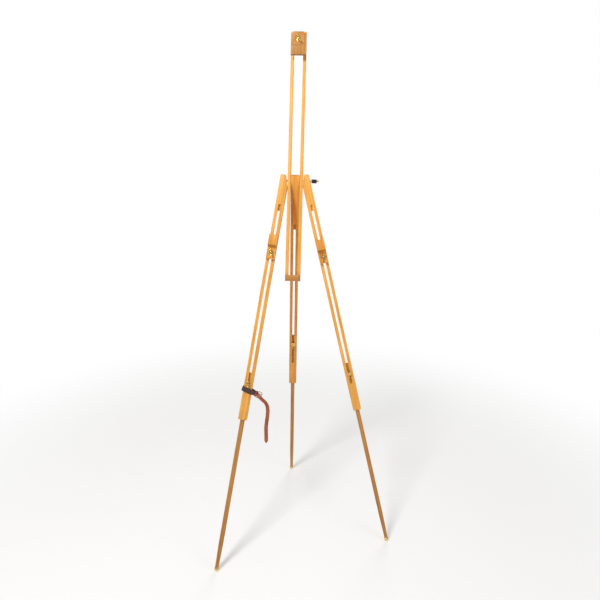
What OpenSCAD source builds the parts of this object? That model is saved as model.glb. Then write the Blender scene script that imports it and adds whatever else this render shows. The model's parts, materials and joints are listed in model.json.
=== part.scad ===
// Tripod field easel: a two-upright mast on a cross rod, two front legs and one rear leg.
// +Z up, the easel faces -Y, origin on the floor at the middle of the feet.

/* [Stance] */
// Height of the cross rod above the floor
pivot_h = 1326; // [1200:1:1450]
// How far the mast leans back, degrees
mast_lean = 13.7; // [5:0.1:20]
// How far the left front leg swings forward, degrees
left_swing = 15.3; // [8:0.1:18]
// How far the right front leg swings forward, degrees
right_swing = 8.5; // [6:0.1:15]
// How far the left front leg splays outwards, degrees
left_splay = 8.3; // [4:0.1:15]
// How far the right front leg splays outwards, degrees
right_splay = 14.5; // [4:0.1:15]
// How far the rear leg swings back, degrees
rear_swing = 9.6; // [6:0.1:20]

/* [Mast] */
// Width over both uprights
mast_w = 53.2; // [50:0.2:56]
// Width of one upright
upright_w = 11; // [10:0.2:11]
// Depth of one upright, front to back
upright_d = 22; // [20:0.5:24]
// Mast length above the rod
mast_above = 512; // [480:1:540]
// Mast length below the rod
mast_below = 351; // [340:1:380]
// How far the mast can be lowered on the rod
mast_lower = 400; // [300:5:400]
// How far the mast can be raised on the rod
mast_raise = 290; // [200:5:300]
// Height of the crosspiece at the foot of the mast
crosspiece_h = 20.5; // [16:0.5:24]
// Thickness of the crosspiece
crosspiece_t = 11; // [8:0.5:14]

/* [Canvas clamp] */
// Height of the clamp jaw
jaw_h = 72; // [66:1:80]
// Gap between the top of the mast and the top of the jaw
jaw_drop = 20; // [15:1:25]
// Height of the lip that hangs in front of the canvas
jaw_lip_h = 31; // [20:0.5:34]
// Thickness of the jaw
jaw_t = 25; // [20:0.5:30]
// Thickness of the lip
jaw_lip_t = 9; // [7:0.5:11]

/* [Legs] */
// Width of a leg board
leg_w = 30; // [28:0.5:32]
// Thickness of a leg board
leg_t = 20; // [19:0.5:22]
// Length of a leg board below the rod
leg_below = 848; // [830:1:870]
// Length of a leg board above the rod
leg_above = 20; // [18:0.5:22]
// Thickness of the wall that holds the front slot
leg_wall = 5; // [4:0.5:6]
// Width of the front slot
slot_w = 8; // [7:0.5:9]
// Start of the front slot below the rod, front legs
front_slot_start = 85; // [70:1:100]
// Start of the front slot below the rod, rear leg
rear_slot_start = 154; // [140:1:170]
// End of the front slot below the rod
slot_end = 745; // [735:1:760]
// Width of the channel behind the slot
channel_w = 15.8; // [15.6:0.1:17]
// How far the channel starts below the slot's start
channel_lag = 20; // [10:1:35]
// Angle of the bevel that lets a front leg splay, degrees
bevel_angle = 16; // [15:0.5:20]
// Drop from the rod to the corner that a front leg rocks on
hinge_drop = 21; // [18:0.5:24]
// Length of the keeper plate at the foot of a leg board
keeper_l = 80; // [60:1:95]
// Thickness of the keeper plate
keeper_t = 3; // [2.5:0.5:3]

/* [Sticks] */
// Width of a sliding stick
stick_w = 15; // [13:0.1:15.4]
// Thickness of a sliding stick
stick_t = 11.4; // [10:0.1:11.5]
// Length of the left stick
left_stick_l = 689; // [660:1:695]
// Length of the right stick
right_stick_l = 699; // [660:1:720]
// Length of the rear stick
rear_stick_l = 710; // [660:1:720]
// Distance from a stick's top to its bolt
stick_bolt_drop = 37; // [35:1:50]
// Width of a stick where it meets its foot
stick_tip_w = 11.5; // [10:0.5:14]
// Radius of the brass ball foot
ball_r = 8.4; // [7:0.1:10]

/* [Canvas rests] */
// Height of a canvas rest block
rest_h = 84; // [80:1:95]
// Height of the front of a rest block's raised part
rest_lip_h = 36; // [30:1:40]
// Thickness of a rest block below its raised part
rest_t = 11; // [10:0.5:14]
// Thickness of a rest block at its raised part
rest_lip_t = 28; // [22:0.5:32]
// Middle of the left rest block below the rod
left_rest_at = 238; // [220:0.5:300]
// Middle of the right rest block below the rod
right_rest_at = 252; // [220:0.5:300]
// Distance from the middle of a rest block down to its bolt
rest_bolt_drop = 19; // [14:1:22]

/* [Hardware] */
// Radius of the cross rod
rod_r = 3; // [2.5:0.5:3.5]
// Radius of the wing-nut bolts
bolt_r = 2.5; // [2:0.5:3]
// Half span of a wing nut's wings
wing_span = 13; // [10:0.5:13]
// Length of the black clamping knob
knob_l = 17.5; // [16:0.5:24]
// Radius of the black clamping knob
knob_r = 6.8; // [6.5:0.1:6.9]

/* [Strap] */
// Outer end of the strap below the rod
strap_at = 739; // [739:0.5:745]
// Width of the strap
strap_w = 16; // [14:0.5:16]
// Thickness of the strap
strap_t = 2.5; // [2:0.1:3]
// Tilt of the strap's loop, degrees
strap_tilt = 15; // [8:0.5:15]
// Width of the strap's free tail
tail_w = 13; // [10:0.5:16]

/* [Hidden] */
$fn = 48;

beech = [0.86, 0.62, 0.36];
brass = [0.80, 0.66, 0.30];
black = [0.08, 0.08, 0.09];
leather = [0.36, 0.17, 0.13];

fit = 0.1;             // radial clearance of a running fit
gap = 0.4;             // clearance between flat faces on different pieces
cut = 1;               // how far a cutting shape runs past the face it cuts
washer_t = 1.2;
washer_r = 7.5;
nut_h = 7;
stem_r = 3;            // the stem of a foot, in its stick
stem_l = 25;
foot_neck = 7;         // how far a stick ends above the middle of its foot ball

hinge_x = mast_w / 2 + gap;              // a front leg rocks on this line beside the mast
pin_rise = hinge_drop - 2.5;             // leg board's reference line above its rocking corner
stick_y = leg_wall + stick_t / 2 + 0.3 - leg_t / 2;
left_pocket = 8;                         // depth of the pocket in the left leg's outer side
right_pocket = washer_t;                 // depth of the pocket in the right leg's outer side
pocket_r = 7.4;
left_head_x = hinge_x + leg_w - left_pocket + 2 * fit;     // inner face of the left leg's washer
right_head_x = hinge_x + leg_w - right_pocket + 2 * fit;   // inner face of the right leg's washer
leg_washer_r = 6.4;
bush_r = rod_r + 1;
clamp_top = mast_above - jaw_drop;         // top of the canvas clamp, above the rod
clamp_bolt_drop = 23;
clamp_bolt_z = clamp_top - clamp_bolt_drop;
spacer_h = 13;

// Height of a front foot ball's middle above the leg's reference line, so that it stands on the floor.
function front_foot_z(swing, splay) =
    ((ball_r - pivot_h + stick_y * sin(swing)) / cos(swing) + hinge_drop - leg_w / 2 * sin(splay))
    / cos(splay) - pin_rise;
function rear_foot_z() = (ball_r - pivot_h - stick_y * sin(rear_swing)) / cos(rear_swing);

// Where a front foot stands, seen from the middle of the cross rod.
function foot_x(swing, splay) =
    hinge_x + leg_w / 2 * cos(splay) - (front_foot_z(swing, splay) + pin_rise) * sin(splay);
function foot_y(swing) = stick_y * cos(swing) + (ball_r - pivot_h + stick_y * sin(swing)) * tan(swing);
rear_foot_y = stick_y * cos(rear_swing) - rear_foot_z() * sin(rear_swing);

// The middle of the cross rod, with the feet's outline centred on the origin.
pivot = [
    (foot_x(left_swing, left_splay) - foot_x(right_swing, right_splay)) / 2,
    -(foot_y(left_swing) + rear_foot_y) / 2,
    pivot_h
];

left_foot_z = front_foot_z(left_swing, left_splay);
right_foot_z = front_foot_z(right_swing, right_splay);

// ---- Frames -------------------------------------------------------------------------------

module rod_frame() {
    translate(pivot) children();
}

module mast_frame() {
    rod_frame() rotate([-mast_lean, 0, 0]) children();
}

// A front leg's own frame: +X outwards, front at -Y, Z along the leg, reference line at Z = 0.
module outward_leg_frame(splay) {
    translate([hinge_x, 0, -hinge_drop])
        rotate([0, -splay, 0])
            translate([leg_w / 2, 0, pin_rise])
                children();
}

module left_frame() {
    rod_frame() rotate([-left_swing, 0, 0]) mirror([1, 0, 0]) outward_leg_frame(left_splay) children();
}

module right_frame() {
    rod_frame() rotate([-right_swing, 0, 0]) outward_leg_frame(right_splay) children();
}

module rear_frame() {
    rod_frame() rotate([rear_swing, 0, 0]) children();
}

// ---- Shared shapes ------------------------------------------------------------------------

// A block given by its lowest corner and its size.
module block(corner, size) {
    translate(corner) cube(size);
}

// A cylinder along X from x1 to x2.
module rod_x(x1, x2, r) {
    translate([x1, 0, 0]) rotate([0, 90, 0]) cylinder(h = x2 - x1, r = r);
}

// A cylinder along Y from y1 to y2.
module rod_y(y1, y2, r) {
    translate([0, y2, 0]) rotate([90, 0, 0]) cylinder(h = y2 - y1, r = r);
}

// A round-ended slot along Z, cut along Y from y1 to y2.
module slot_y(y1, y2, z1, z2, w) {
    block([-w / 2, y1, z1 + w / 2], [w, y2 - y1, z2 - z1 - w]);
    for (z = [z1 + w / 2, z2 - w / 2])
        translate([0, 0, z]) rod_y(y1, y2, w / 2);
}

// A solid with the given outline in the XZ plane, from y1 to y2.
module slab(points, y1, y2) {
    translate([0, y2, 0]) rotate([90, 0, 0]) linear_extrude(y2 - y1) polygon(points);
}

// A solid with the given outline in the YZ plane, w wide along X.
module profile_x(points, w) {
    translate([-w / 2, 0, 0]) rotate([90, 0, 90]) linear_extrude(w) polygon(points);
}

// Points of an arc round a centre, degrees counted from +X.
function arc(centre, r, from, to, steps = 5) =
    [for (i = [0:steps]) let (a = from + (to - from) * i / steps) centre + r * [cos(a), sin(a)]];

// Wing nut on a bolt along Y, its seat at y = 0, facing -Y.
module wing_nut(turn) {
    wing_t = 2.6;
    ear_r = 4.2;
    ear = [wing_span - ear_r, nut_h + 2.2];
    color(brass)
        rotate([90, 0, 0]) rotate([0, 0, turn])
            difference() {
                union() {
                    cylinder(h = nut_h, r1 = 5.4, r2 = 4.3);
                    for (side = [0, 180])
                        rotate([0, 0, side]) rotate([90, 0, 0])
                            translate([0, 0, -wing_t / 2])
                                linear_extrude(wing_t) {
                                    translate(ear) circle(ear_r);
                                    polygon([[3.4, 1.2], ear + [1.4, -ear_r + 0.2],
                                             ear + [-1.6, ear_r - 0.4], [3.4, nut_h - 0.6]]);
                                }
                }
                translate([0, 0, -cut]) cylinder(h = nut_h + 2 * cut, r = bolt_r + fit);
            }
}

// Plain washer round a bolt along Y, its back face at y = 0.
module washer(r = washer_r) {
    color(brass)
        difference() {
            rod_y(-washer_t, 0, r);
            rod_y(-washer_t - cut, cut, bolt_r + fit);
        }
}

// ---- Cross rod and knob -------------------------------------------------------------------

module cross_rod() {
    head_l = 3.2;
    head_r = 6;
    left_end = -left_head_x - washer_t - fit;
    tip = knob_start + knob_l + stub_l;
    color(brass) rod_frame() {
        rod_x(left_end, tip - rod_r, rod_r);
        translate([tip - rod_r, 0, 0]) sphere(rod_r);
        rod_x(left_end - head_l + 1, left_end, head_r);
        rod_x(left_end - head_l, left_end - head_l + 1, head_r - 1);
    }
}

knob_start = right_head_x + washer_t + fit;
stub_l = 8.5;            // length of rod beyond the knob
insert_r = 5;

// Black grip with shallow flutes.
module knob_grip() {
    flutes = 12;
    color(black) rod_frame()
        difference() {
            union() {
                rod_x(knob_start + 1, knob_start + knob_l - 1, knob_r);
                rod_x(knob_start, knob_start + knob_l, knob_r - 0.8);
            }
            rod_x(knob_start - cut, knob_start + knob_l + cut, insert_r);
            for (i = [0:flutes - 1])
                rotate([i * 360 / flutes, 0, 0]) translate([0, 0, knob_r + 0.7])
                    rod_x(knob_start + 3, knob_start + knob_l - 3, 1.2);
        }
}

module knob_insert() {
    color(brass) rod_frame()
        difference() {
            rod_x(knob_start, knob_start + knob_l, insert_r);
            rod_x(knob_start - cut, knob_start + knob_l + cut, rod_r + fit);
        }
}

// ---- Mast ---------------------------------------------------------------------------------

dowel_r = 3;

// One upright, its outer face at x = 0 and its inner face at x = upright_w.
module upright() {
    chamfer = 2;
    slot_r = bush_r + fit;
    difference() {
        block([0, -upright_d / 2, -mast_below], [upright_w, upright_d, mast_below + mast_above]);
        block([-cut, -slot_r, -mast_raise], [upright_w + 2 * cut, 2 * slot_r, mast_raise + mast_lower]);
        for (z = [-mast_raise, mast_lower])
            translate([0, 0, z]) rod_x(-cut, upright_w + cut, slot_r);
        translate([upright_w / 2, 0, crosspiece_h / 2 - mast_below])
            rod_y(-upright_d / 2 - cut, 0, dowel_r);
        translate([0, 0, mast_above - spacer_h / 2])
            rod_x(-cut, upright_w + cut, dowel_r);
        for (side = [-1, 1])
            translate([0, side * upright_d / 2, mast_above])
                rotate([45, 0, 0])
                    block([-cut, -chamfer, -chamfer], [upright_w + 2 * cut, 2 * chamfer, 2 * chamfer]);
    }
}

module left_upright() {
    color(beech) mast_frame() translate([-mast_w / 2, 0, 0]) upright();
}

module right_upright() {
    color(beech) mast_frame() mirror([1, 0, 0]) translate([-mast_w / 2, 0, 0]) upright();
}

// Bar across the front of both uprights, with its ends bevelled.
module crosspiece() {
    bevel = 5;
    half = mast_w / 2;
    front = -upright_d / 2 - crosspiece_t;
    back = -upright_d / 2;
    color(beech) mast_frame() translate([0, 0, -mast_below])
        difference() {
            linear_extrude(crosspiece_h)
                polygon([[-half, back], [-half, front + bevel], [-half + bevel, front],
                         [half - bevel, front], [half, front + bevel], [half, back]]);
            for (x = [-1, 1] * (half - upright_w / 2))
                translate([x, 0, crosspiece_h / 2]) rod_y(back - crosspiece_t / 2, back + cut, dowel_r);
        }
}

module crosspiece_dowels() {
    color(beech) mast_frame()
        for (x = [-1, 1] * (mast_w - upright_w) / 2)
            translate([x, 0, crosspiece_h / 2 - mast_below])
                rod_y(-upright_d / 2 - crosspiece_t / 2, 0, dowel_r);
}

// Block that holds the tops of the uprights apart.
module top_spacer() {
    inner = mast_w - 2 * upright_w;
    color(beech) mast_frame()
        difference() {
            block([-inner / 2, -upright_d / 2 + 1, mast_above - spacer_h], [inner, upright_d - 2, spacer_h]);
            translate([0, 0, mast_above - spacer_h / 2]) {
                rod_x(-inner / 2 - cut, -inner / 2 + 8, dowel_r);
                rod_x(inner / 2 - 8, inner / 2 + cut, dowel_r);
            }
        }
}

module spacer_dowels() {
    inner = mast_w - 2 * upright_w;
    color(beech) mast_frame() translate([0, 0, mast_above - spacer_h / 2]) {
        rod_x(-mast_w / 2, -inner / 2 + 8, dowel_r);
        rod_x(inner / 2 - 8, mast_w / 2, dowel_r);
    }
}

// Two bushes that turn on the rod and run in the slots of the uprights.
module mast_bushes() {
    color(brass) mast_frame()
        for (side = [-1, 1])
            translate([side * (mast_w - upright_w) / 2, 0, 0])
                difference() {
                    rod_x(-upright_w / 2 + fit, upright_w / 2 - fit, bush_r);
                    rod_x(-upright_w, upright_w, rod_r + fit);
                }
}

// ---- Canvas clamp -------------------------------------------------------------------------

mast_front = -upright_d / 2 - fit;
mast_back = upright_d / 2 + fit;
jaw_plate_h = 40;      // height of the clamp's back plate
jaw_plate_t = 9;

// Block on the front of the mast, with a lip in front of the canvas and a tongue between the uprights.
module clamp_jaw() {
    bottom = clamp_top - jaw_h;
    ceiling = bottom + jaw_lip_h;
    front = mast_front - jaw_t;
    lip_back = front + jaw_lip_t;
    tongue_w = mast_w - 2 * upright_w - 2 * gap;
    groove = 1;        // depth of the line scored across the front
    tongue_l = 32;
    tongue_t = 7;
    color(beech) mast_frame()
        difference() {
            union() {
                profile_x([[mast_front, clamp_top], [front, clamp_top],
                           [front, ceiling + groove], [front + groove, ceiling], [front, ceiling - groove],
                           [front, bottom], [lip_back, bottom], [lip_back, ceiling], [mast_front, ceiling]],
                          mast_w);
                block([-tongue_w / 2, mast_front - cut, ceiling + 4], [tongue_w, tongue_t + cut, tongue_l]);
            }
            translate([0, 0, clamp_bolt_z]) rod_y(front - cut, 0, bolt_r + fit);
        }
}

module clamp_back_plate() {
    plate_w = mast_w - 6;
    color(beech) mast_frame() translate([0, 0, clamp_bolt_z])
        difference() {
            block([-plate_w / 2, mast_back, -jaw_plate_h / 2], [plate_w, jaw_plate_t, jaw_plate_h]);
            rod_y(mast_back - cut, mast_back + jaw_plate_t + cut, bolt_r + fit);
        }
}

// Round-headed bolt along Y: its head's seat at y = seat, its end at y = end.
module round_bolt(seat, end, head_r, head_h) {
    color(brass) {
        rod_y(end, seat, bolt_r);
        rod_y(seat, seat + head_h / 2, head_r);
        rod_y(seat + head_h / 2, seat + head_h, head_r - 1);
    }
}

module clamp_bolt() {
    mast_frame() translate([0, 0, clamp_bolt_z])
        round_bolt(mast_back + jaw_plate_t, mast_front - jaw_t - washer_t - nut_h - 4, 6.5, 3);
}

module clamp_washer() {
    mast_frame() translate([0, mast_front - jaw_t, clamp_bolt_z]) washer();
}

module clamp_wing_nut() {
    mast_frame() translate([0, mast_front - jaw_t - washer_t - fit, clamp_bolt_z]) wing_nut(-52);
}

// ---- Legs ---------------------------------------------------------------------------------

leg_front = -leg_t / 2;
leg_back = leg_t / 2;
channel_front = leg_front + leg_wall;

// Outline of a front leg board: the inner top corner is bevelled, the outer one is rounded.
function front_outline() =
    let (half = leg_w / 2, run = (leg_above + pin_rise) * tan(bevel_angle), round = 5)
    concat(
        [[-half, -leg_below], [half, -leg_below]],
        arc([half - round, leg_above - round], round, 0, 90),
        arc([-half + run + 2, leg_above - 2], 2, 90, 180 - bevel_angle, 3),
        [[-half, -pin_rise]]
    );

// Outline of the rear leg board, with both top corners rounded.
function rear_outline() =
    let (half = leg_w / 2, round = 4)
    concat(
        [[-half, -leg_below], [half, -leg_below]],
        arc([half - round, leg_above - round], round, 0, 90),
        arc([-half + round, leg_above - round], round, 90, 180)
    );

// Height of the rod's axis in a front leg's frame, at the given splay and distance across the board.
function rod_z(splay, across) = (hinge_drop - across * sin(splay)) / cos(splay) - pin_rise;

// Wedge-shaped hole that clears the rod from no splay to full splay.
module rod_mortise() {
    reach = rod_r + 3 * fit;
    half = leg_w / 2 + cut;
    across = leg_w + cut;
    slab([[-half, rod_z(bevel_angle, -cut) + reach], [half, rod_z(0, across) + reach],
          [half, rod_z(bevel_angle, across) - reach], [-half, rod_z(0, -cut) - reach]],
         -rod_r - 1.5 * fit, rod_r + 1.5 * fit);
}

// Pocket in the outer side for the washer and the rod's head or the knob, at any splay.
module rod_pocket(depth) {
    floor_x = leg_w / 2 - depth;
    low = rod_z(bevel_angle, leg_w);
    high = rod_z(0, leg_w);
    for (z = [low, high])
        translate([0, 0, z]) rod_x(floor_x, leg_w, pocket_r);
    block([floor_x, -pocket_r, low], [leg_w, 2 * pocket_r, high - low]);
}

// Cuts a board's front slot and the channel that opens at its back.
module leg_slots(start) {
    slot_y(leg_front - cut, channel_front + 2, -slot_end, -start, slot_w);
    block([-channel_w / 2, channel_front, -leg_below - cut],
          [channel_w, leg_t, leg_below + cut - start - channel_lag]);
}

module front_leg_board(pocket) {
    color(beech)
        difference() {
            slab(front_outline(), leg_front, leg_back);
            leg_slots(front_slot_start);
            rod_mortise();
            rod_pocket(pocket);
        }
}

module rear_leg_board() {
    color(beech) rear_frame()
        difference() {
            slab(rear_outline(), leg_front, leg_back);
            leg_slots(rear_slot_start);
            rod_x(-leg_w, leg_w, rod_r + fit);
        }
}

// Plate glued across the channel, behind the stick.
module keeper() {
    keeper_w = channel_w - 0.04;
    color(beech)
        block([-keeper_w / 2, leg_back - keeper_t, -leg_below], [keeper_w, keeper_t, keeper_l]);
}

// Sliding stick with a tapered end, its foot ball's middle at foot_z.
module stick(foot_z, length) {
    end = foot_z + foot_neck;
    top = end + length;
    half = stick_w / 2;
    tip = stick_tip_w / 2;
    taper = 90;
    color(beech)
        difference() {
            slab([[-tip, end], [tip, end], [half, end + taper], [half, top], [-half, top], [-half, end + taper]],
                 stick_y - stick_t / 2, stick_y + stick_t / 2);
            translate([0, stick_y, end - cut]) cylinder(h = stem_l + 2 * cut, r = stem_r + fit / 2);
            translate([0, 0, top - stick_bolt_drop])
                rod_y(stick_y - stick_t, stick_y + stick_t, bolt_r + fit);
        }
}

left_bolt_z = left_foot_z + foot_neck + left_stick_l - stick_bolt_drop;
right_bolt_z = right_foot_z + foot_neck + right_stick_l - stick_bolt_drop;
rear_bolt_z = rear_foot_z() + foot_neck + rear_stick_l - stick_bolt_drop;

// Brass ball, flat where the stick stands on it, with a stem that goes up into the stick.
module foot(foot_z) {
    color(brass) translate([0, stick_y, foot_z]) {
        difference() {
            sphere(ball_r);
            block([-ball_r, -ball_r, foot_neck - fit], 2 * [ball_r, ball_r, ball_r]);
        }
        cylinder(h = stem_l, r = stem_r);
    }
}

module stick_bolt(z) {
    translate([0, 0, z])
        round_bolt(stick_y + stick_t / 2, leg_front - fit - washer_t - nut_h - 4, 6, 2.6);
}

module stick_washer(z) {
    translate([0, leg_front - fit, z]) washer();
}

module stick_wing_nut(z, turn) {
    translate([0, leg_front - 2 * fit - washer_t, z]) wing_nut(turn);
}

// Washer on the rod outside a front leg.
module leg_washer(x) {
    color(brass) rod_frame() translate([x, 0, 0])
        difference() {
            rod_x(0, washer_t, leg_washer_r);
            rod_x(-cut, washer_t + cut, rod_r + fit);
        }
}

module left_leg_washer() {
    leg_washer(-left_head_x - washer_t);
}

module right_leg_washer() {
    leg_washer(right_head_x);
}

module left_leg_board() {
    left_frame() difference() {
        front_leg_board(left_pocket);
        color(beech) strap_screw_hole();
    }
}

module left_keeper() {
    left_frame() keeper();
}

module left_stick() {
    left_frame() stick(left_foot_z, left_stick_l);
}

module left_stick_bolt() {
    left_frame() stick_bolt(left_bolt_z);
}

module left_stick_washer() {
    left_frame() stick_washer(left_bolt_z);
}

module left_stick_wing_nut() {
    left_frame() stick_wing_nut(left_bolt_z, 80);
}

module left_foot() {
    left_frame() foot(left_foot_z);
}

module right_leg_board() {
    right_frame() front_leg_board(right_pocket);
}

module right_keeper() {
    right_frame() keeper();
}

module right_stick() {
    right_frame() stick(right_foot_z, right_stick_l);
}

module right_stick_bolt() {
    right_frame() stick_bolt(right_bolt_z);
}

module right_stick_washer() {
    right_frame() stick_washer(right_bolt_z);
}

module right_stick_wing_nut() {
    right_frame() stick_wing_nut(right_bolt_z, 70);
}

module right_foot() {
    right_frame() foot(right_foot_z);
}

module rear_keeper() {
    rear_frame() keeper();
}

module rear_stick() {
    rear_frame() stick(rear_foot_z(), rear_stick_l);
}

module rear_stick_bolt() {
    rear_frame() stick_bolt(rear_bolt_z);
}

module rear_stick_washer() {
    rear_frame() stick_washer(rear_bolt_z);
}

module rear_stick_wing_nut() {
    rear_frame() stick_wing_nut(rear_bolt_z, 85);
}

module rear_foot() {
    rear_frame() foot(rear_foot_z());
}

// ---- Canvas rests -------------------------------------------------------------------------

rest_back = leg_front - fit;
t_head = 13;           // side of the square bolt head that runs in the channel
rest_slope = 6;        // how far the underside of the raised part slopes down

// Block with a raised part, sloped underneath, and a tongue that runs in the leg's slot.
module rest_block() {
    tongue_w = slot_w - 2 * gap;
    color(beech)
        difference() {
            union() {
                profile_x([[rest_back, -rest_h / 2], [rest_back - rest_t, -rest_h / 2],
                           [rest_back - rest_t, rest_h / 2 - rest_lip_h - rest_slope],
                           [rest_back - rest_lip_t, rest_h / 2 - rest_lip_h],
                           [rest_back - rest_lip_t, rest_h / 2], [rest_back, rest_h / 2]], leg_w);
                block([-tongue_w / 2, rest_back - cut, -rest_h / 2 + 6],
                      [tongue_w, leg_wall - 1 + cut, rest_h - 12]);
            }
            translate([0, 0, -rest_bolt_drop])
                rod_y(rest_back - rest_t - cut, channel_front + cut, bolt_r + fit);
        }
}

// Bolt with a square head inside the channel.
module rest_bolt() {
    head_h = 3.5;
    color(brass) translate([0, 0, -rest_bolt_drop]) {
        rod_y(rest_back - rest_t - washer_t - nut_h - 4, channel_front + 1, bolt_r);
        block([-t_head / 2, channel_front + 0.2, -t_head / 2], [t_head, head_h, t_head]);
    }
}

module rest_washer() {
    translate([0, rest_back - rest_t, -rest_bolt_drop]) washer();
}

module rest_wing_nut(turn) {
    translate([0, rest_back - rest_t - washer_t - fit, -rest_bolt_drop]) wing_nut(turn);
}

module left_rest_frame() {
    left_frame() translate([0, 0, -left_rest_at]) children();
}

module right_rest_frame() {
    right_frame() translate([0, 0, -right_rest_at]) children();
}

module left_rest_block() {
    left_rest_frame() rest_block();
}

module left_rest_bolt() {
    left_rest_frame() rest_bolt();
}

module left_rest_washer() {
    left_rest_frame() rest_washer();
}

module left_rest_wing_nut() {
    left_rest_frame() rest_wing_nut(75);
}

module right_rest_block() {
    right_rest_frame() rest_block();
}

module right_rest_bolt() {
    right_rest_frame() rest_bolt();
}

module right_rest_washer() {
    right_rest_frame() rest_washer();
}

module right_rest_wing_nut() {
    right_rest_frame() rest_wing_nut(60);
}

// ---- Strap --------------------------------------------------------------------------------

strap_out = 17.4;      // inner face of the loop on the leg's outer side
strap_side = 12.2;     // inner face of the loop in front of and behind the leg
strap_in = -38;        // where the two runs of the loop end, at the buckle
strap_meet = -29;      // where they come together behind the keeper
strap_gap = 1.5;       // half the space between them, which holds the buckle's bar
screw_r = 1.5;

// The strap's frame: the middle of its loop, tilted down towards the buckle.
module strap_frame() {
    translate([strap_out, 0, -strap_at]) rotate([0, -strap_tilt, 0]) translate([-strap_out, 0, 0])
        children();
}

// Outline of the loop's inside, seen along the leg, grown outwards by the given amount.
function loop_outline(grow) =
    let (round = 3.5, side = strap_side, x = strap_out - round, y = strap_gap + grow)
    concat(
        arc([x, side - round], round + grow, 0, 90, 6),
        [[-18, side - 1 + grow], [strap_meet, y], [strap_in, y], [strap_in, -y], [strap_meet, -y],
         [-18, 1 - side - grow]],
        arc([x, round - side], round + grow, -90, 0, 6)
    );

// The free tail's middle line, from the buckle down to its tip.
tail_route = [
    [-35.5, -2.75, -753.5], [-46, -6.5, -760], [-57, -8.5, -768], [-69, -9, -774], [-77.5, -9, -785],
    [-82.5, -9, -801], [-84.5, -9, -820], [-85, -9, -840], [-86, -9, -858], [-89, -9, -875],
    [-92, -9, -890], [-94.5, -9, -903], [-95.5, -9, -913]
];

function unit(v) = v / norm(v);
function tail_dir(i) =
    unit(tail_route[min(i + 1, len(tail_route) - 1)] - tail_route[max(i - 1, 0)]);

// Direction across the tail, which twists as it leaves the buckle and then hangs flat.
function tail_across(i) =
    let (d = tail_dir(i), flat = unit(cross(d, [0, 1, 0])), twist = 45 * sin(min(180, 36 * i)))
    cos(twist) * flat + sin(twist) * cross(d, flat);

// Half width of the tail, narrowing to its pointed tip.
function tail_half(i) = i == len(tail_route) - 1 ? 1 : tail_w / 2;

function tail_ring(i) =
    let (
        across = tail_across(i) * tail_half(i),
        thick = cross(tail_dir(i), tail_across(i)) * strap_t / 2,
        c = tail_route[i]
    )
    [c - across - thick, c + across - thick, c + across + thick, c - across + thick];

module strap_tail() {
    last = len(tail_route) - 1;
    points = [for (i = [0:last]) each tail_ring(i)];
    sides = [for (i = [0:last - 1], k = [0:3])
        let (a = 4 * i + k, b = 4 * i + (k + 1) % 4) each [[a, a + 4, b + 4], [a, b + 4, b]]];
    polyhedron(points, concat([[0, 1, 2, 3]], sides, [[for (k = [3:-1:0]) 4 * last + k]]), convexity = 6);
}

module strap_screw_hole() {
    strap_frame() rod_x(8, strap_out + 10, screw_r + fit / 2);
}

module strap_loop() {
    strap_frame() translate([0, 0, -strap_w / 2])
        linear_extrude(strap_w)
            difference() {
                polygon(loop_outline(strap_t));
                polygon(loop_outline(0));
            }
}

module strap() {
    color(leather) left_frame()
        difference() {
            union() {
                strap_loop();
                strap_tail();
            }
            strap_screw_hole();
        }
}

// A wire along a closed path of points in the XZ plane, with round corners.
module wire_frame(points, r) {
    last = len(points) - 1;
    for (i = [0:last]) {
        a = points[i];
        b = points[i == last ? 0 : i + 1];
        step = b - a;
        translate([a[0], 0, a[1]]) sphere(r);
        translate([a[0], 0, a[1]]) rotate([0, atan2(step[0], step[1]), 0]) cylinder(h = norm(step), r = r);
    }
}

buckle_half = 11;
buckle_bar = -35.5;
buckle_wire = 1.2;

module buckle_frame() {
    color(brass) left_frame() strap_frame()
        wire_frame([[buckle_bar, -buckle_half], [buckle_bar, buckle_half], [-50, buckle_half],
                    [-53, buckle_half - 4], [-53, 4 - buckle_half], [-50, -buckle_half]], buckle_wire);
}

module buckle_prong() {
    prong_r = 0.9;
    color(brass) left_frame() strap_frame() translate([0, buckle_wire + prong_r + fit, 4])
        rod_x(-54, strap_in - fit, prong_r);
}

// Narrow band round both thicknesses of the strap, beside the buckle.
module strap_keeper() {
    inner = [8, 2 * (strap_gap + strap_t) + 0.6, strap_w + 1];
    outer = [5, inner[1] + 3, inner[2] + 3];
    color(leather) left_frame() strap_frame() translate([(strap_meet + buckle_bar) / 2 + 0.5, 0, 0])
        difference() {
            cube(outer, center = true);
            cube(inner, center = true);
        }
}

module strap_screw() {
    head_x1 = strap_out + strap_t;
    color(brass) left_frame() strap_frame() {
        rod_x(9, head_x1, screw_r);
        rod_x(head_x1, head_x1 + 1.6, 3.6);
    }
}

// ---- Assembly -----------------------------------------------------------------------------

cross_rod();
knob_grip();
knob_insert();
left_upright();
right_upright();
crosspiece();
crosspiece_dowels();
top_spacer();
spacer_dowels();
mast_bushes();
clamp_jaw();
clamp_back_plate();
clamp_bolt();
clamp_washer();
clamp_wing_nut();
left_leg_washer();
right_leg_washer();
left_leg_board();
left_keeper();
left_stick();
left_stick_bolt();
left_stick_washer();
left_stick_wing_nut();
left_foot();
right_leg_board();
right_keeper();
right_stick();
right_stick_bolt();
right_stick_washer();
right_stick_wing_nut();
right_foot();
rear_leg_board();
rear_keeper();
rear_stick();
rear_stick_bolt();
rear_stick_washer();
rear_stick_wing_nut();
rear_foot();
left_rest_block();
left_rest_bolt();
left_rest_washer();
left_rest_wing_nut();
right_rest_block();
right_rest_bolt();
right_rest_washer();
right_rest_wing_nut();
strap();
strap_keeper();
buckle_frame();
buckle_prong();
strap_screw();
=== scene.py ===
"""Looks of the tripod field easel: beech, brass, black plastic and leather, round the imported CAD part."""

import json
import math
import random

import bmesh
import bpy
from mathutils import Matrix, Vector


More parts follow.
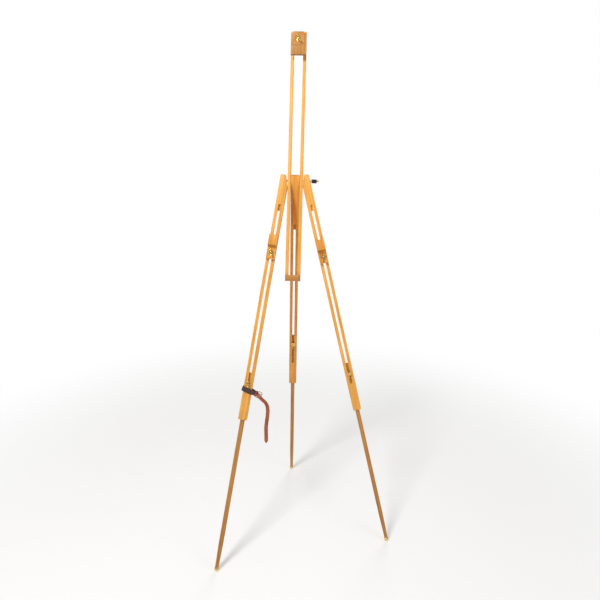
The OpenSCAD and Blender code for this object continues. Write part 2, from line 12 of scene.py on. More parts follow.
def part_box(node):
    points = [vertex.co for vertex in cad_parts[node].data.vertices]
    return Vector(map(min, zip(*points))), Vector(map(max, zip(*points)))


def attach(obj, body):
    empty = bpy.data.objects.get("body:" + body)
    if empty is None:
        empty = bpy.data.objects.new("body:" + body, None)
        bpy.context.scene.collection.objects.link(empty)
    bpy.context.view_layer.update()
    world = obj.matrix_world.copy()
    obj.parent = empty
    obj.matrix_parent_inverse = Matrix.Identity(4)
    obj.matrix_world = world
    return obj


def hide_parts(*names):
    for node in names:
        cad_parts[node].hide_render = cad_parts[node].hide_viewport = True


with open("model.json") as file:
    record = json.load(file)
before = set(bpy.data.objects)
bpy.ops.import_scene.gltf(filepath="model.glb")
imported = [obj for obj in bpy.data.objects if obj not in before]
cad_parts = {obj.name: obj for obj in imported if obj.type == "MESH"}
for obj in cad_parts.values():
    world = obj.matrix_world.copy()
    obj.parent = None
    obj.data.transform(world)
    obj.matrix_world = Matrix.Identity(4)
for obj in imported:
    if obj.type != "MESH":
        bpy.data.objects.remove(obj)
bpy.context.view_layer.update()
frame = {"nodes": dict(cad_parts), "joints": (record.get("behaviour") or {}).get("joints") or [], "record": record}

MM = 0.001
JOINTS = {j["name"]: j for j in frame["joints"]}
NODES = frame["nodes"]
BODY_OF = {n: body for body, members in frame["record"]["behaviour"]["bodies"].items() for n in members}
rng = random.Random(11)


# ---- Frames -------------------------------------------------------------------------------


def matrix_from(x, y, z, origin):
    """A matrix with the given axes, at origin."""
    rows = [[x[i], y[i], z[i], origin[i]] for i in range(3)]
    return Matrix([*rows, [0, 0, 0, 1]])


def board_frame(up_joint, nut_joint):
    """Frame of a board: Z along it, front at -Y, origin on the axis of the wing nut in front of it."""
    z = Vector(JOINTS[up_joint]["axis"]).normalized()
    y = -Vector(JOINTS[nut_joint]["axis"])
    y = (y - y.dot(z) * z).normalized()
    return matrix_from(y.cross(z), y, z, Vector(JOINTS[nut_joint]["pos_m"]))


def bolt_frame(nut_joint, board):
    """Frame of a bolt: Z along it towards the front, X up the board."""
    z = Vector(JOINTS[nut_joint]["axis"]).normalized()
    x = FRAMES[board].col[2].to_3d()
    x = (x - x.dot(z) * z).normalized()
    return matrix_from(x, z.cross(x), z, Vector(JOINTS[nut_joint]["pos_m"]))


FRAMES = {
    "mast": board_frame("mast_slide", "clamp_nut_spin"),
    "left": board_frame("left_stick_slide", "left_stick_nut_spin"),
    "right": board_frame("right_stick_slide", "right_stick_nut_spin"),
    "rear": board_frame("rear_stick_slide", "rear_stick_nut_spin"),
}
# Turns a board's frame so that its Z, the grain, runs along X.
CROSS_GRAIN = Matrix.Rotation(math.radians(90), 4, "Y")


def local_points(node, matrix):
    """A CAD node's points in the given frame."""
    inverse = matrix.inverted()
    return [inverse @ v.co for v in NODES[node].data.vertices]


def span(node, matrix, axis=2):
    """Lowest and highest coordinate of a CAD node along one axis of the given frame."""
    values = [p[axis] for p in local_points(node, matrix)]
    return min(values), max(values)


# ---- Materials ----------------------------------------------------------------------------


class Graph:
    """A small helper that builds one material's node tree."""

    def __init__(self, name):
        self.material = bpy.data.materials.new(name)
        self.material.use_nodes = True
        self.tree = self.material.node_tree
        self.shader = self.tree.nodes["Principled BSDF"]
        self.place = self.node("ShaderNodeTexCoord").outputs["Object"]

    def node(self, kind, **values):
        made = self.tree.nodes.new(kind)
        for key, value in values.items():
            setattr(made, key, value)
        return made

    def link(self, source, target):
        self.tree.links.new(source, target)

    def stretched(self, scale, offset=(0, 0, 0)):
        """The object's coordinates, scaled and shifted."""
        mapping = self.node("ShaderNodeMapping")
        mapping.inputs["Scale"].default_value = scale
        mapping.inputs["Location"].default_value = offset
        self.link(self.place, mapping.inputs["Vector"])
        return mapping.outputs["Vector"]

    def noise(self, vector, scale, detail=4.0, rough=0.55, warp=0.0):
        made = self.node("ShaderNodeTexNoise")
        made.inputs["Scale"].default_value = scale
        made.inputs["Detail"].default_value = detail
        made.inputs["Roughness"].default_value = rough
        made.inputs["Distortion"].default_value = warp
        self.link(vector, made.inputs["Vector"])
        return made.outputs["Fac"]

    def span(self, value, low, high, to_low=0.0, to_high=1.0, smooth=True):
        made = self.node("ShaderNodeMapRange")
        made.interpolation_type = "SMOOTHSTEP" if smooth else "LINEAR"
        for key, number in zip(("From Min", "From Max", "To Min", "To Max"), (low, high, to_low, to_high)):
            made.inputs[key].default_value = number
        self.link(value, made.inputs["Value"])
        return made.outputs["Result"]

    def math(self, operation, a, b):
        made = self.node("ShaderNodeMath", operation=operation)
        for socket, value in zip(made.inputs, (a, b)):
            if isinstance(value, (int, float)):
                socket.default_value = value
            else:
                self.link(value, socket)
        return made.outputs[0]

    def mix(self, factor, a, b, blend="MIX"):
        made = self.node("ShaderNodeMix", data_type="RGBA", blend_type=blend)
        for socket, value in ((made.inputs[0], factor), (made.inputs[6], a), (made.inputs[7], b)):
            if isinstance(value, (int, float)):
                socket.default_value = value
            elif isinstance(value, tuple):
                socket.default_value = (*value, 1)
            else:
                self.link(value, socket)
        return made.outputs[2]

    def bump(self, height, distance, strength=1.0):
        made = self.node("ShaderNodeBump")
        made.inputs["Strength"].default_value = strength
        made.inputs["Distance"].default_value = distance
        self.link(height, made.inputs["Height"])
        self.link(made.outputs["Normal"], self.shader.inputs["Normal"])

    def finish(self, colour, rough, **constants):
        self.link(colour, self.shader.inputs["Base Color"])
        self.link(rough, self.shader.inputs["Roughness"])
        for key, value in constants.items():
            self.shader.inputs[key.replace("_", " ")].default_value = value
        return self.material


def beech(name, light, dark, shift):
    """Oiled beech, its grain along the object's Z: growth rings, fibres, flecks and darker end grain."""
    g = Graph(name)
    long = g.stretched((1, 1, 0.05), shift)
    rings = g.node("ShaderNodeTexWave", wave_type="RINGS", rings_direction="Z")
    for key, value in (("Scale", 42.0), ("Distortion", 3.4), ("Detail", 3.0), ("Detail Scale", 2.2)):
        rings.inputs[key].default_value = value
    g.link(g.stretched((1, 1, 0.12), (shift[0] + 0.09, shift[1] + 0.05, shift[2])), rings.inputs["Vector"])
    streaks = g.noise(long, 210, 5, 0.6, 0.4)
    fibres = g.noise(g.stretched((1, 1, 0.022), shift), 1500, 3, 0.6)
    blotches = g.noise(g.stretched((1, 1, 0.3), shift), 14, 2)
    flecks = g.node("ShaderNodeTexVoronoi", feature="F1")
    flecks.inputs["Scale"].default_value = 420
    flecks.inputs["Randomness"].default_value = 1
    g.link(g.stretched((1, 1, 0.16), shift), flecks.inputs["Vector"])
    fleck = g.span(flecks.outputs["Distance"], 0.10, 0.19, 1, 0)
    tone = g.math("ADD", g.span(streaks, 0.35, 0.68, 0, 0.5), g.math("MULTIPLY", rings.outputs["Fac"], 0.26))
    tone = g.math("ADD", tone, g.span(fibres, 0.3, 0.75, 0, 0.26))
    tone = g.math("ADD", tone, g.span(blotches, 0.3, 0.7, -0.12, 0.16))
    colour = g.mix(tone, light, dark)
    colour = g.mix(g.math("MULTIPLY", fleck, 0.5), colour, tuple(c * 0.42 for c in dark))
    turned = g.node("ShaderNodeVectorTransform", vector_type="NORMAL",
                    convert_from="WORLD", convert_to="OBJECT")
    g.link(g.node("ShaderNodeNewGeometry").outputs["Normal"], turned.inputs[0])
    split = g.node("ShaderNodeSeparateXYZ")
    g.link(turned.outputs[0], split.inputs[0])
    end_grain = g.span(g.math("ABSOLUTE", split.outputs["Z"], 0), 0.72, 0.97)
    colour = g.mix(g.math("MULTIPLY", end_grain, 0.55), colour, tuple(c * 0.5 for c in dark))
    rough = g.span(g.noise(long, 90, 4), 0.3, 0.7, 0.4, 0.58)
    grooves = g.math("SUBTRACT", g.math("MULTIPLY", fibres, 0.8), fleck)
    g.bump(grooves, 0.09 * MM, 0.8)
    return g.finish(colour, rough, Specular_IOR_Level=0.3, Coat_Weight=0.06, Coat_Roughness=0.4)


def metal(name, bright, worn, rough_low, rough_high):
    """Plated metal with duller patches, fine scratches and small pits."""
    g = Graph(name)
    patches = g.noise(g.stretched((1, 1, 1)), 160, 5, 0.65)
    scratches = g.noise(g.stretched((1, 0.08, 0.5)), 2600, 3, 0.7)
    pits = g.noise(g.stretched((1, 1, 1)), 1900, 2)
    colour = g.mix(g.span(patches, 0.45, 0.72), bright, worn)
    rough = g.math("ADD", g.span(patches, 0.3, 0.75, rough_low, rough_high),
                   g.span(scratches, 0.5, 0.7, 0, 0.08))
    g.bump(g.math("SUBTRACT", scratches, g.span(pits, 0.68, 0.76, 0, 0.8)), 0.03 * MM, 0.6)
    return g.finish(colour, rough, Metallic=1.0)


def plastic(name, base, grey):
    """Moulded plastic with a fine skin and scuffed patches."""
    g = Graph(name)
    scuffs = g.noise(g.stretched((1, 1, 1)), 340, 5, 0.7)
    skin = g.noise(g.stretched((1, 1, 1)), 5200, 2)
    colour = g.mix(g.span(scuffs, 0.55, 0.75), base, grey)
    g.bump(skin, 0.025 * MM, 0.7)
    return g.finish(colour, g.span(scuffs, 0.35, 0.75, 0.2, 0.42), Specular_IOR_Level=0.55)


def hide(name, base, dark, worn):
    """Strap leather: pores, creases across the strap, burnished patches and worn high spots."""
    g = Graph(name)
    mottle = g.noise(g.stretched((1, 1, 1)), 150, 5, 0.6)
    pores = g.node("ShaderNodeTexVoronoi", feature="DISTANCE_TO_EDGE")
    pores.inputs["Scale"].default_value = 1300
    g.link(g.stretched((1, 1, 1)), pores.inputs["Vector"])
    cells = g.span(pores.outputs["Distance"], 0.0, 0.14)
    creases = g.noise(g.stretched((0.4, 0.4, 1)), 420, 4, 0.6, 0.6)
    colour = g.mix(g.span(mottle, 0.35, 0.7), base, dark)
    colour = g.mix(g.span(creases, 0.56, 0.74, 0, 0.6), colour, worn)
    colour = g.mix(g.span(cells, 0, 1, 0.4, 0), colour, dark)
    height = g.math("ADD", g.math("MULTIPLY", cells, 0.5), creases)
    g.bump(height, 0.16 * MM, 0.9)
    return g.finish(colour, g.span(mottle, 0.3, 0.75, 0.36, 0.62), Specular_IOR_Level=0.45)


def thread(name, base):
    """Waxed stitching thread."""
    g = Graph(name)
    twist = g.noise(g.stretched((1, 1, 1)), 3000, 3)
    g.bump(twist, 0.05 * MM)
    return g.finish(g.mix(twist, base, tuple(c * 0.6 for c in base)), g.span(twist, 0.2, 0.8, 0.6, 0.8))


# Three copies of one oiled beech that differ in brightness. This is partly real tone from board to board and
# partly painted shade: the darker copies go to pieces that sit back, are recessed or run in channels.
WOODS = [
    beech("beech_pale", (0.90, 0.47, 0.10), (0.64, 0.26, 0.035), (0.013, 0.021, 0.4)),
    beech("beech_honey_and_shade", (0.84, 0.39, 0.07), (0.54, 0.19, 0.022), (0.047, 0.008, 1.7)),
    beech("beech_tan_and_shade", (0.58, 0.28, 0.07), (0.35, 0.13, 0.024), (0.083, 0.037, 3.1)),
]
PALE, HONEY_AND_SHADE, TAN_AND_SHADE = range(3)
BRASS = metal("brass_plate", (0.86, 0.63, 0.24), (0.62, 0.42, 0.15), 0.16, 0.36)
WIRE = metal("buckle_plate", (0.52, 0.43, 0.25), (0.28, 0.21, 0.12), 0.2, 0.4)
BLACK = plastic("black_grip", (0.008, 0.008, 0.009), (0.03, 0.03, 0.032))
DARK_HIDE = hide("dark_leather", (0.10, 0.052, 0.05), (0.032, 0.015, 0.017), (0.22, 0.13, 0.11))
RED_HIDE = hide("red_leather", (0.46, 0.12, 0.05), (0.22, 0.05, 0.024), (0.62, 0.23, 0.10))
THREAD = thread("linen_thread", (0.35, 0.26, 0.16))


# ---- Pieces that copy a CAD node ----------------------------------------------------------


def add_object(name, mesh, matrix, node, materials):
    """Puts a mesh, given in the frame of matrix, in the scene; it moves with the CAD node's body."""
    made = bpy.data.objects.new(name, mesh)
    bpy.context.scene.collection.objects.link(made)
    for material in materials:
        mesh.materials.append(material)
    made.matrix_world = matrix
    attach(made, BODY_OF[node])
    return made


def grain_frame(matrix, node):
    """The frame moved near the node's middle by a random step, so that each piece's grain differs."""
    low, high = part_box(node)
    inner = matrix.inverted() @ ((low + high) / 2)
    step = Vector((rng.uniform(-0.04, 0.04), rng.uniform(-0.04, 0.04), rng.uniform(-2, 2)))
    return matrix @ Matrix.Translation(inner + step)


def eased_copy(node, matrix, material, width, segments=2):
    """A copy of a CAD node with eased edges and smooth curves, in the given frame."""
    mesh = bpy.data.meshes.new(node + "_eased")
    bm = bmesh.new()
    bm.from_mesh(NODES[node].data)
    bmesh.ops.transform(bm, matrix=matrix.inverted(), verts=bm.verts)
    bmesh.ops.remove_doubles(bm, verts=bm.verts, dist=0.004 * MM)
    bmesh.ops.dissolve_limit(bm, angle_limit=math.radians(0.6), verts=bm.verts, edges=bm.edges)
    for face in bm.faces:
        face.smooth = True
        face.material_index = 0
    bm.to_mesh(mesh)
    bm.free()
    made = add_object(node + "_look", mesh, matrix, node, [material])
    bevel = made.modifiers.new("eased", "BEVEL")
    bevel.width = width
    bevel.segments = segments
    bevel.limit_method = "ANGLE"
    bevel.angle_limit = math.radians(28)
    bevel.harden_normals = True
    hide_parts(node)
    return made


def board(node, frame_name, wood, width=0.9, across=False):
    """A wooden piece whose grain follows its board's frame."""
    matrix = FRAMES[frame_name] @ CROSS_GRAIN if across else FRAMES[frame_name]
    eased_copy(node, grain_frame(matrix, node), WOODS[wood], width * MM)


board("left_upright", "mast", PALE)
board("right_upright", "mast", PALE)
board("crosspiece", "mast", TAN_AND_SHADE, 1.0, True)
board("crosspiece_dowels", "mast", TAN_AND_SHADE, 0.3)
# The recessed top spacer takes the darkest beech as painted shade for its recess.
board("top_spacer", "mast", TAN_AND_SHADE, 0.8, True)
board("spacer_dowels", "mast", TAN_AND_SHADE, 0.3, True)
board("clamp_jaw", "mast", TAN_AND_SHADE, 1.2)
board("clamp_back_plate", "mast", HONEY_AND_SHADE, 1.2)
for side, leg_wood, stick_wood, rest_wood in (("left", PALE, TAN_AND_SHADE, HONEY_AND_SHADE), ("right", PALE, TAN_AND_SHADE, HONEY_AND_SHADE)):
    board(side + "_leg_board", side, leg_wood)
    board(side + "_keeper", side, HONEY_AND_SHADE, 0.5)
    # The sticks take the darkest beech, partly as painted shade for the leg channels they run in.
    board(side + "_stick", side, stick_wood, 0.9)
    board(side + "_rest_block", side, rest_wood, 1.3)
# The rear leg board takes the darker honey beech as painted shade for the rear leg, which sits back behind the
# mast; the rests and keepers take it as real tone.
board("rear_leg_board", "rear", HONEY_AND_SHADE)
board("rear_keeper", "rear", HONEY_AND_SHADE, 0.5)
# The rear stick takes the darkest beech, partly as painted shade for the channel it runs in.
board("rear_stick", "rear", TAN_AND_SHADE, 0.9)

for side in ("left", "right", "rear"):
    eased_copy(side + "_stick_wing_nut", bolt_frame(side + "_stick_nut_spin", side), BRASS, 0.7 * MM, 3)
for side in ("left", "right"):
    eased_copy(side + "_rest_wing_nut", bolt_frame(side + "_rest_nut_spin", side), BRASS, 0.7 * MM, 3)
eased_copy("clamp_wing_nut", bolt_frame("clamp_nut_spin", "mast"), BRASS, 0.7 * MM, 3)


# ---- Turned and threaded brass ------------------------------------------------------------


HEAD_DOWN = Matrix.Rotation(math.pi, 4, "X")
BOLT_R = 2.5 * MM
BOLT_PITCH = 0.8 * MM
BOLT_BORE = 2.6 * MM
SHANK_CLEAR = 0.3 * MM      # how far a shank is thinner than its thread
THREAD_L = 16 * MM
THREAD_INSIDE = 2 * MM      # stretch of thread that starts inside the shank


def lathe(bm, profile, segments=40, matrix=None):
    """Turns a profile of (radius, height) points round Z; a radius of 0 closes the end."""
    angles = [2 * math.pi * i / segments for i in range(segments)]
    rings = []
    for radius, height in profile:
        ring = angles if radius else [0.0]
        rings.append([bm.verts.new((radius * math.cos(a), radius * math.sin(a), height)) for a in ring])
    for low, high in zip(rings, rings[1:]):
        for i in range(segments):
            j = (i + 1) % segments
            corners = [low[i % len(low)], low[j % len(low)], high[j % len(high)], high[i % len(high)]]
            corners = list(dict.fromkeys(corners))
            if len(corners) > 2:
                bm.faces.new(corners)
    if matrix is not None:
        bmesh.ops.transform(bm, matrix=matrix, verts=[v for ring in rings for v in ring])


def skin(bm, rings, closed):
    """Joins rings of vertices into a surface; an open one gets its two ends as well."""
    pairs = zip(rings, rings[1:] + rings[:1] if closed else rings[1:])
    for low, high in pairs:
        for i in range(len(low)):
            j = (i + 1) % len(low)
            bm.faces.new([low[i], low[j], high[j], high[i]])
    if not closed:
        bm.faces.new(list(reversed(rings[0])))
        bm.faces.new(rings[-1])


def add_thread(bm, radius, start, end, pitch, segments=28):
    """Screw thread along Z, with six steps to each turn."""
    depth = 0.3 * pitch
    steps = max(2, int((end - start) / pitch * 6))
    rings = []
    for k in range(steps + 1):
        z = start + (end - start) * k / steps
        ring = []
        for i in range(segments):
            phase = (z / pitch - i / segments) % 1
            a = 2 * math.pi * i / segments
            r = radius - depth * abs(2 * phase - 1)
            ring.append(bm.verts.new((r * math.cos(a), r * math.sin(a), z)))
        rings.append(ring)
    skin(bm, rings, False)


def smooth_mesh(bm, name, sharp=38):
    """Makes a mesh of bm with smooth faces, creased where it turns by more than the given angle."""
    bmesh.ops.recalc_face_normals(bm, faces=bm.faces)
    for face in bm.faces:
        face.smooth = True
    mesh = bpy.data.meshes.new(name)
    bm.to_mesh(mesh)
    bm.free()
    mesh.set_sharp_from_angle(angle=math.radians(sharp))
    return mesh


def brass_piece(node, matrix, build):
    """A brass piece built by build(bm) in the frame of matrix, in place of a CAD node."""
    bm = bmesh.new()
    build(bm)
    made = add_object(node + "_look", smooth_mesh(bm, node + "_turned"), matrix, node, [BRASS])
    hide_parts(node)


def dome(radius, seat, top):
    """Profile of a low rounded head whose seat is at seat and whose crown is at top."""
    h = top - seat
    edge = 0.25 * MM
    rim = 0.32 * h
    turns = [math.radians(a) for a in range(0, 76, 15)]
    crown = [(radius * math.cos(t), seat + rim + (h - rim) * math.sin(t)) for t in turns]
    return [(0, seat), (radius - edge, seat), (radius, seat + 0.12 * h), *crown, (0, top)]


def bolt_shaft(bm, start, end):
    """Shank, thread and chamfered point of a bolt."""
    shank_r = BOLT_R - SHANK_CLEAR
    shank_end = end - THREAD_L + THREAD_INSIDE
    point = end - 1.2 * MM
    lathe(bm, [(0, start), (shank_r, start), (shank_r, shank_end), (0, shank_end)], 24)
    add_thread(bm, BOLT_R, end - THREAD_L, end - 0.6 * MM, BOLT_PITCH)
    lathe(bm, [(0, point), (BOLT_R - 0.35 * MM, point), (BOLT_R - 0.45 * MM, end - 0.3 * MM),
               (BOLT_R - 0.9 * MM, end), (0, end)], 24)


def round_bolt(node, nut_joint, board_name, head_r=6.0 * MM):
    """Domed bolt whose thread shows beyond its wing nut."""
    matrix = bolt_frame(nut_joint, board_name)
    low, high = span(node, matrix)
    head_h = 2.8 * MM
    shaft_inside = 2 * MM

    def build(bm):
        lathe(bm, dome(head_r, -low - head_h, -low), matrix=HEAD_DOWN)
        bolt_shaft(bm, low + shaft_inside, high)

    brass_piece(node, matrix, build)


def rest_bolt(side):
    """Bolt with a square head that runs in the leg's channel."""
    node = side + "_rest_bolt"
    matrix = bolt_frame(side + "_rest_nut_spin", side)
    low, high = span(node, matrix)
    head_w = 13 * MM
    head_h = 3.5 * MM
    shaft_inside = 3 * MM

    def build(bm):
        made = bmesh.ops.create_cube(bm, size=1)["verts"]
        bmesh.ops.scale(bm, vec=(head_w, head_w, head_h), verts=made)
        bmesh.ops.translate(bm, vec=(0, 0, low + head_h / 2), verts=made)
        edges = list({e for v in made for e in v.link_edges})
        bmesh.ops.bevel(bm, geom=edges, offset=0.6 * MM, segments=3, profile=0.5, affect="EDGES")
        bolt_shaft(bm, low + shaft_inside, high)

    brass_piece(node, matrix, build)


def washer(node, matrix, bore):
    """Stamped washer with rolled edges."""
    low, high = span(node, matrix)
    outer = max(math.hypot(p.x, p.y) for p in local_points(node, matrix))
    edge = 0.35 * MM

    def build(bm):
        profile = [(bore, low + edge), (bore + edge, low), (outer - edge, low), (outer, low + edge),
                   (outer, high - edge), (outer - edge, high), (bore + edge, high), (bore, high - edge),
                   (bore, low + edge)]
        lathe(bm, profile, 48)
        bmesh.ops.remove_doubles(bm, verts=bm.verts, dist=0.001 * MM)

    brass_piece(node, matrix, build)


for side in ("left", "right", "rear"):
    round_bolt(side + "_stick_bolt", side + "_stick_nut_spin", side)
    washer(side + "_stick_washer", bolt_frame(side + "_stick_nut_spin", side), BOLT_BORE)
round_bolt("clamp_bolt", "clamp_nut_spin", "mast", head_r=6.5 * MM)
washer("clamp_washer", bolt_frame("clamp_nut_spin", "mast"), BOLT_BORE)
for side in ("left", "right"):
    rest_bolt(side)
    washer(side + "_rest_washer", bolt_frame(side + "_rest_nut_spin", side), BOLT_BORE)


# ---- Cross rod and knob -------------------------------------------------------------------

PIVOT = Vector(JOINTS["mast_tilt"]["pos_m"])
ROD_FRAME = matrix_from(Vector((0, 1, 0)), Vector((0, 0, 1)), Vector((1, 0, 0)), PIVOT)
ROD_R = 3.0 * MM
ROD_BORE = 3.1 * MM
ROD_THREAD_L = 22 * MM


def cross_rod():
    """Plain rod with a round head at one end and a thread at the knob's end."""
    low, high = span("cross_rod", ROD_FRAME)
    head_r = 6.0 * MM
    head_h = 3.2 * MM
    thread_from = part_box("right_leg_washer")[1].x - PIVOT.x - ROD_THREAD_L
    shoulder = thread_from + 0.5 * MM
    point = high - 2.6 * MM

    def build(bm):
        lathe(bm, dome(head_r, -low - head_h, -low), matrix=HEAD_DOWN)
        lathe(bm, [(0, low + 2 * MM), (ROD_R, low + 2 * MM), (ROD_R, thread_from),
                   (ROD_R - 0.4 * MM, shoulder), (0, shoulder)], 36)
        add_thread(bm, ROD_R, thread_from, high - 2.2 * MM, 1.0 * MM, 36)
        lathe(bm, [(0, point), (ROD_R - 0.35 * MM, point), (ROD_R - 0.4 * MM, high - 1.6 * MM),
                   (ROD_R - 1.1 * MM, high - 0.5 * MM), (ROD_R - 2.0 * MM, high), (0, high)], 36)

    brass_piece("cross_rod", ROD_FRAME, build)


cross_rod()
for side in ("left", "right"):
    washer(side + "_leg_washer", ROD_FRAME, ROD_BORE)
eased_copy("knob_grip", ROD_FRAME, BLACK, 0.45 * MM, 3)
eased_copy("knob_insert", ROD_FRAME, BRASS, 0.4 * MM, 2)
eased_copy("mast_bushes", ROD_FRAME, BRASS, 0.25 * MM, 2)


# ---- Feet ---------------------------------------------------------------------------------

BALL_R = 8.4 * MM
COLLAR_TOP = 6.9 * MM
STEM_R = 3.0 * MM


def ball_foot(side):
    """Turned ball with a fine groove under its collar and a stem in the stick."""
    node = side + "_foot"
    board_matrix = FRAMES[side]
    z = Vector(JOINTS[side + "_stick_slide"]["axis"]).normalized()
    y = board_matrix.col[1].to_3d()
    middle_x, middle_y = (sum(span(node, board_matrix, axis)) / 2 for axis in (0, 1))
    centre = board_matrix @ Vector((middle_x, middle_y, span(node, board_matrix)[0] + BALL_R))

    def build(bm):
        turns = [math.radians(a) for a in range(-84, 36, 6)]
        ball = [(BALL_R * math.cos(t), BALL_R * math.sin(t)) for t in turns]
        groove = [(6.6 * MM, 4.9 * MM), (6.1 * MM, 5.1 * MM), (6.1 * MM, 5.5 * MM), (6.5 * MM, 5.7 * MM)]
        collar = [(6.3 * MM, 6.5 * MM), (5.9 * MM, COLLAR_TOP)]
        stem = [(STEM_R, COLLAR_TOP), (STEM_R, 31 * MM), (0, 32 * MM)]
        lathe(bm, [(0, -BALL_R), *ball, *groove, *collar, *stem], 48)

    brass_piece(node, matrix_from(y.cross(z), y, z, centre), build)


for side in ("left", "right", "rear"):
    ball_foot(side)


# ---- Strap --------------------------------------------------------------------------------
# Its sizes and points are in mm beside the left leg: X outwards, front at -Y, Z up from the leg's
# reference line. A point of the loop is in the loop's own frame, which is tilted about Y.

LEG_BELOW = 848.0        # from the reference line down to the end of the leg board
LOOP_OUT = 17.4          # inner face of the loop on the leg's outer side
LOOP_AT = 739.0          # that face's middle, below the reference line
LOOP_SIDE = 12.2         # inner face of the loop in front of and behind the leg
LOOP_CORNER = 3.5
LOOP_TILT = math.radians(15)
SPREAD_X = -18           # where the two runs start to close in
MEET_X = -29             # where they come together
BAR_X = -35.5            # the buckle's bar, which the strap turns round
RUN_Y = 2.75             # from the middle of a run to the middle of the bar
STRAP_T = 2.5
STRAP_W = 16.0
TAIL_W = 13.0
TAIL_T = 2.3
LEFT = FRAMES["left"]
LEFT_MIDDLE = [sum(span("left_leg_board", LEFT, axis)) / 2 for axis in (0, 1)]
LEFT_END = span("left_leg_board", LEFT)[0]


def on_left(point):
    """A point beside the left leg, in metres and in the leg's frame."""
    x, y, z = point
    return Vector((LEFT_MIDDLE[0] - x * MM, LEFT_MIDDLE[1] + y * MM, LEFT_END + (z + LEG_BELOW) * MM))


def in_loop(point):
    """A point of the loop's tilted frame, beside the leg."""
    x, y, z = point[0] - LOOP_OUT, point[1], point[2]
    c, t = math.cos(LOOP_TILT), math.sin(LOOP_TILT)
    return Vector((x * c - z * t + LOOP_OUT, y, x * t + z * c - LOOP_AT))


LOOP_RUN = in_loop((1, 0, 0)) - in_loop((0, 0, 0))
LOOP_UP = in_loop((0, 0, 1)) - in_loop((0, 0, 0))


def drawn(points, closed, step=1.2, passes=4):
    """The path through the points, in short steps and smoothed; a fourth value goes along unsmoothed."""
    path = []
    pairs = zip(points, points[1:] + points[:1] if closed else points[1:])
    for a, b in pairs:
        count = max(1, round((Vector(b[:3]) - Vector(a[:3])).length / step))
        path += [[a[k] + (b[k] - a[k]) * i / count for k in range(len(a))] for i in range(count)]
    if not closed:
        path.append(list(points[-1]))
    last = len(path) - 1
    for _ in range(passes):
        softer = []
        for i, q in enumerate(path):
            before, after = path[i - 1], path[(i + 1) % len(path)]
            fixed = not closed and i in (0, last)
            eased = [(before[k] + 2 * q[k] + after[k]) / 4 for k in range(3)] + list(q[3:])
            softer.append(q if fixed else eased)
        path = softer
    return path


def tangents(path, closed):
    """Unit direction at each point of a path."""
    last = len(path) - 1
    found = []
    for i in range(len(path)):
        before = path[i - 1] if closed or i > 0 else path[0]
        after = path[(i + 1) % len(path)] if closed or i < last else path[last]
        found.append((Vector(after[:3]) - Vector(before[:3])).normalized())
    return found


def strap_section(half, thick):
    """Cross-section of a strap: soft edges and a creased line along each edge, on both faces."""
    groove = 0.22
    r = min(0.8, 0.8 * half)
    h = thick / 2
    turns = [math.radians(d) for d in (0, 30, 60, 90)]
    corner = [(half - r + r * math.cos(t), h - r + r * math.sin(t)) for t in turns]
    lines = [(half - 1.5, h), (half - 1.75, h - groove), (half - 2.0, h)] if half > 3 else []
    quarter = corner + lines
    top = quarter + [(-x, y) for x, y in reversed(quarter)]
    return top + [(-x, -y) for x, y in top]


def ribbon(bm, stations, closed):
    """Leather along stations of (centre, direction across, normal, section)."""
    rings = [[bm.verts.new(on_left(c + across * x + normal * y)) for x, y in section]
             for c, across, normal, section in stations]
    skin(bm, rings, closed)


def band(bm, path, across, section):
    """Closed leather band along a path of the loop's frame."""
    placed = [in_loop(q) for q in path]
    directions = tangents(placed, True)
    ribbon(bm, [(c, across, across.cross(t).normalized(), section) for c, t in zip(placed, directions)], True)


def strap_loop():
    """The strap round the leg, with its turn round the buckle's bar."""
    grow = STRAP_T / 2
    x = LOOP_OUT - LOOP_CORNER
    y = LOOP_SIDE - LOOP_CORNER
    r = LOOP_CORNER + grow
    turn = [(BAR_X + RUN_Y * math.cos(a), RUN_Y * math.sin(a), 0) for a in
            (math.radians(d) for d in range(270, 80, -30))]
    corner = [(x + r * math.cos(a), y + r * math.sin(a), 0) for a in
              (math.radians(d) for d in range(90, -1, -15))]
    half = [(MEET_X, RUN_Y, 0), (SPREAD_X, LOOP_SIDE - 1 + grow, 0), *corner]
    outline = turn + half + [(px, -py, 0) for px, py, _ in reversed(half)]
    bm = bmesh.new()
    band(bm, drawn(outline, True, 1.0, 3), LOOP_UP, strap_section(STRAP_W / 2, STRAP_T))
    return add_object("strap_loop", smooth_mesh(bm, "strap_loop"), LEFT, "strap", [DARK_HIDE])


# The free tail's middle line, from the buckle down to its tip.
TAIL_ROUTE = [
    (-35.5, -2.75, -753.5), (-46, -6.5, -760), (-57, -8.5, -768), (-69, -9, -774), (-77.5, -9, -785),
    (-82.5, -9, -801), (-84.5, -9, -820), (-85, -9, -840), (-86, -9, -858), (-89, -9, -875),
    (-92, -9, -890), (-94.5, -9, -903), (-95.5, -9, -913),
]


def tail_stations():
    """Stations of the tail, their directions and their distances from the buckle."""
    tip_l = 9
    least = 0.5
    path = drawn([(*q, float(i)) for i, q in enumerate(TAIL_ROUTE)], False, 1.2, 14)
    directions = tangents(path, False)
    length = [0.0]
    for a, b in zip(path, path[1:]):
        length.append(length[-1] + (Vector(b[:3]) - Vector(a[:3])).length)
    full = strap_section(TAIL_W / 2, TAIL_T)
    stations = []
    for q, d, along in zip(path, directions, length):
        flat = d.cross(Vector((0, 1, 0))).normalized()
        twist = math.radians(45) * math.sin(math.radians(min(180, 36 * q[3])))
        across = math.cos(twist) * flat + math.sin(twist) * d.cross(flat)
        narrow = min(1, (max(0.0, length[-1] - along) / tip_l) ** 0.55)
        narrow = max(narrow, least / (TAIL_W / 2))
        wave = 0.35 * math.sin(along / 9.0) * min(1, along / 30)
        normal = d.cross(across).normalized()
        stations.append((Vector(q[:3]) + normal * wave, across, normal, [(x * narrow, y) for x, y in full]))
    return stations, directions, length


